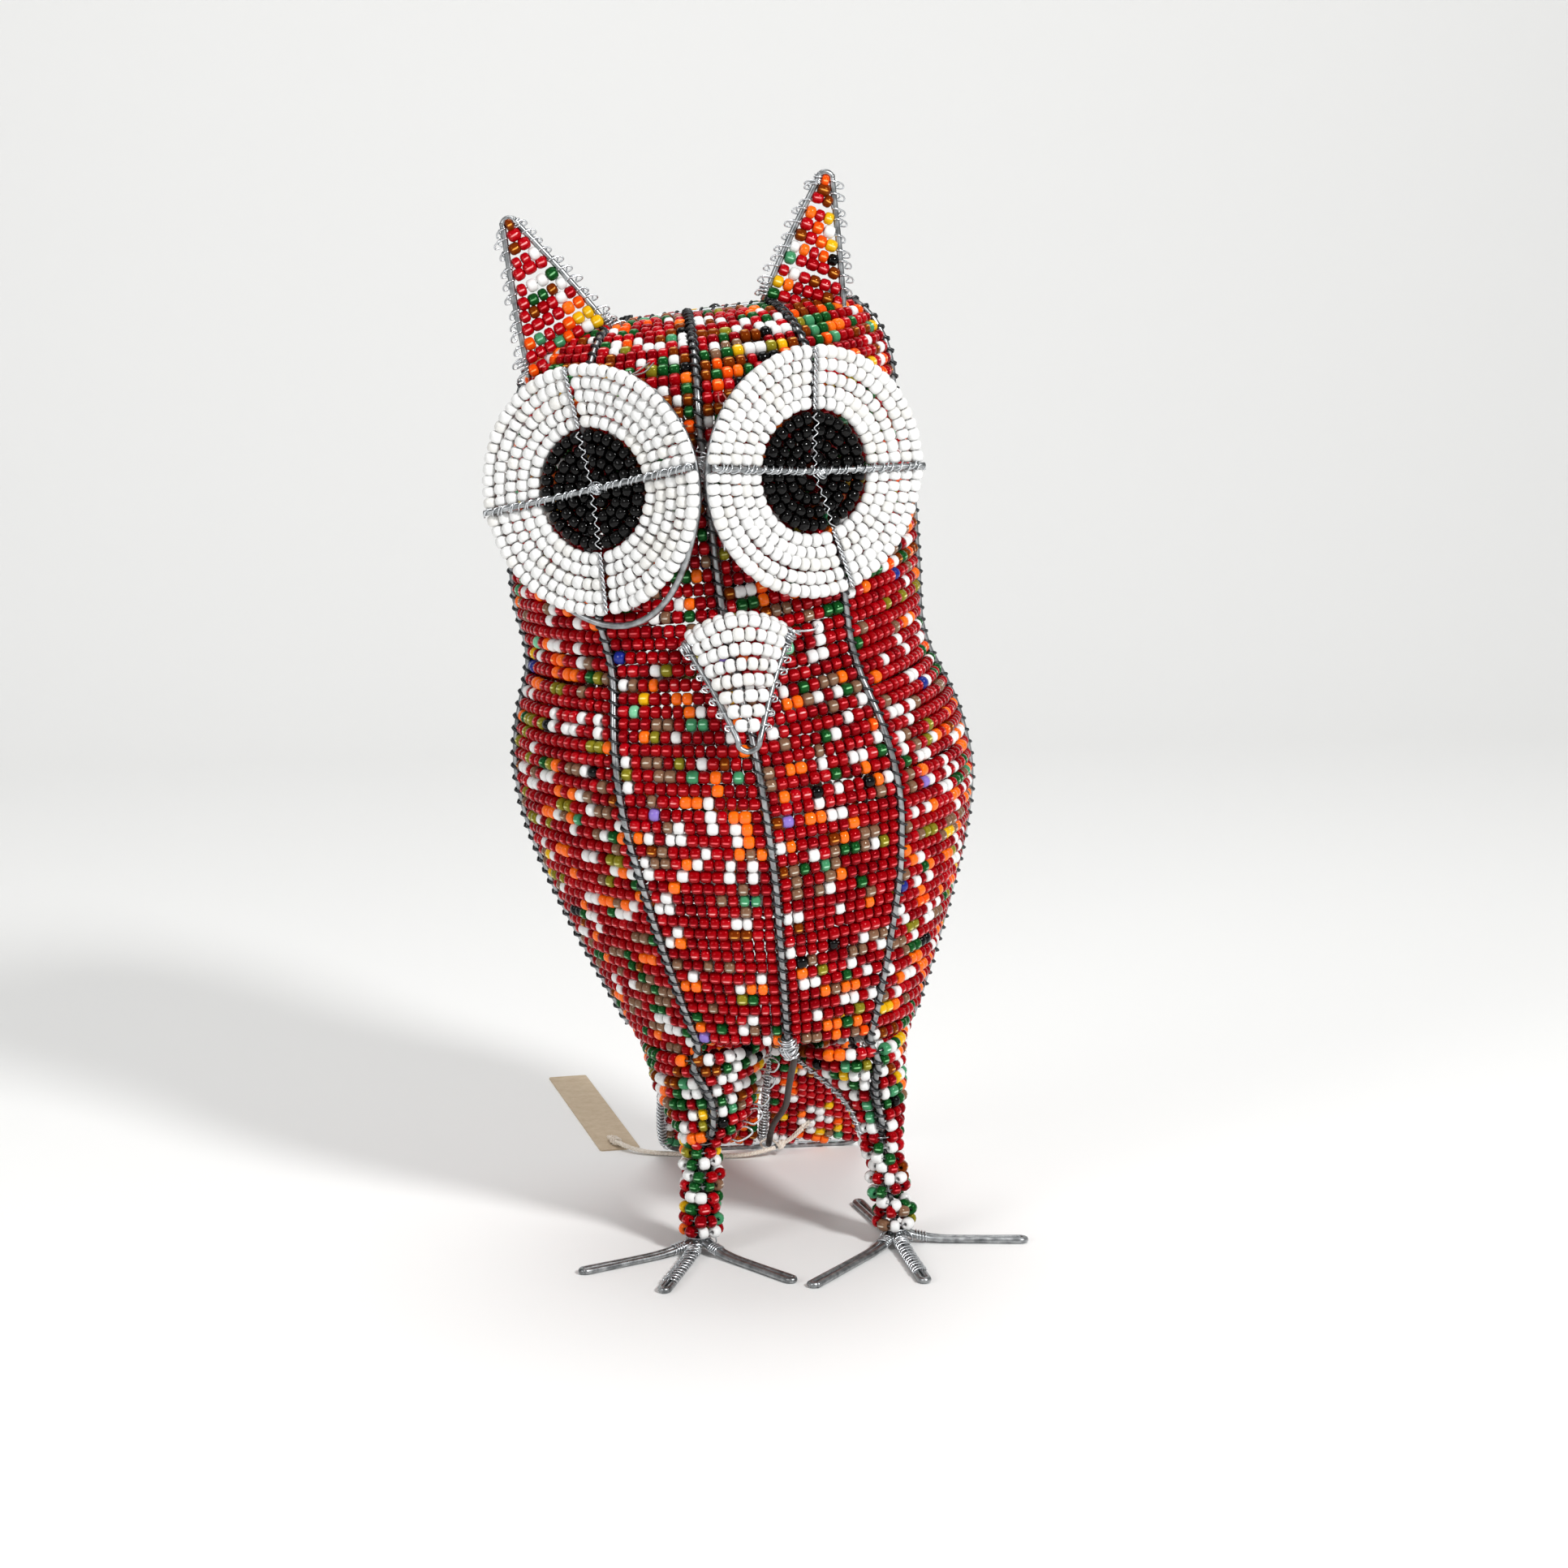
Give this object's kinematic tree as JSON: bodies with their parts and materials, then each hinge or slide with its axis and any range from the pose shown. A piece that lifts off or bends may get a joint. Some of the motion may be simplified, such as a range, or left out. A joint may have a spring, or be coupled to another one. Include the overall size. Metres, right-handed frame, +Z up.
{
  "type": "beaded wire owl figure",
  "caption": "Free-standing owl figure of strung glass seed beads wound on a bent wire frame, with dished eyes, open ears, splayed wire toes and a beaded tail",
  "frame": {"origin": "middle of the owl's footprint box on the surface it stands on, without the swing tag and its string", "axes": "+Z up, the owl faces -Y, +X to the right as seen from in front"},
  "size_m": [0.1712, 0.2787, 0.333],
  "materials": {
    "body_beads": "transparent ruby seed beads with scattered opaque white and orange ones",
    "head_beads": "mixed red, green, amber, yellow and white glass seed beads",
    "white_beads": "opaque glossy white glass seed beads",
    "black_beads": "opaque glossy black glass seed beads",
    "heavy_wire": "galvanised steel wire, dull grey, slightly worn",
    "thin_wire": "thin galvanised binding wire",
    "dark_wire": "plain annealed wire, dark grey",
    "tag_card": "kraft card, blank",
    "cotton_string": "soft twisted cotton"
  },
  "bodies": {
    "root": {"bead_panel_front_to_front_right": "body_beads", "bead_panel_front_right_to_side_right": "body_beads", "bead_panel_side_right_to_back_right": "body_beads", "bead_panel_back_right_to_back": "body_beads", "bead_panel_back_to_back_left": "body_beads", "bead_panel_back_left_to_side_left": "body_beads", "bead_panel_side_left_to_front_left": "body_beads", "bead_panel_front_left_to_front": "body_beads", "crown_beads": "head_beads", "rib_front": "heavy_wire", "rib_front_right": "heavy_wire", "rib_side_right": "heavy_wire", "rib_back_right": "heavy_wire", "rib_back": "heavy_wire", "rib_back_left": "heavy_wire", "rib_side_left": "heavy_wire", "rib_front_left": "heavy_wire", "thigh_beads_left_left_half": "head_beads", "thigh_beads_left_right_half": "head_beads", "leg_beads_left": "head_beads", "ankle_wrap_left": "thin_wire", "toe_left_outer": "heavy_wire", "toe_left_front": "heavy_wire", "toe_left_inner": "heavy_wire", "toe_left_back": "heavy_wire", "eye_white_left": "white_beads", "eye_pupil_left": "black_beads", "eye_rim_wire_left": "heavy_wire", "eye_cross_left": "heavy_wire", "ear_frame_left": "heavy_wire", "ear_beads_left": "head_beads", "thigh_beads_right_left_half": "head_beads", "thigh_beads_right_right_half": "head_beads", "leg_beads_right": "head_beads", "ankle_wrap_right": "thin_wire", "toe_right_outer": "heavy_wire", "toe_right_front": "heavy_wire", "toe_right_inner": "heavy_wire", "toe_right_back": "heavy_wire", "eye_white_right": "white_beads", "eye_pupil_right": "black_beads", "eye_rim_wire_right": "heavy_wire", "eye_cross_right": "heavy_wire", "ear_frame_right": "heavy_wire", "ear_beads_right": "head_beads", "beak_frame": "heavy_wire", "beak_beads": "white_beads", "tail_frame": "heavy_wire", "tail_rib": "heavy_wire", "tail_beads_left": "body_beads", "tail_beads_right": "body_beads", "tail_brace": "dark_wire", "crotch_lashing": "thin_wire", "eye_bridge_lashing": "thin_wire", "tag_card": "tag_card", "tag_string": "cotton_string", "tag_knot": "cotton_string"}
  },
  "joints": []
}
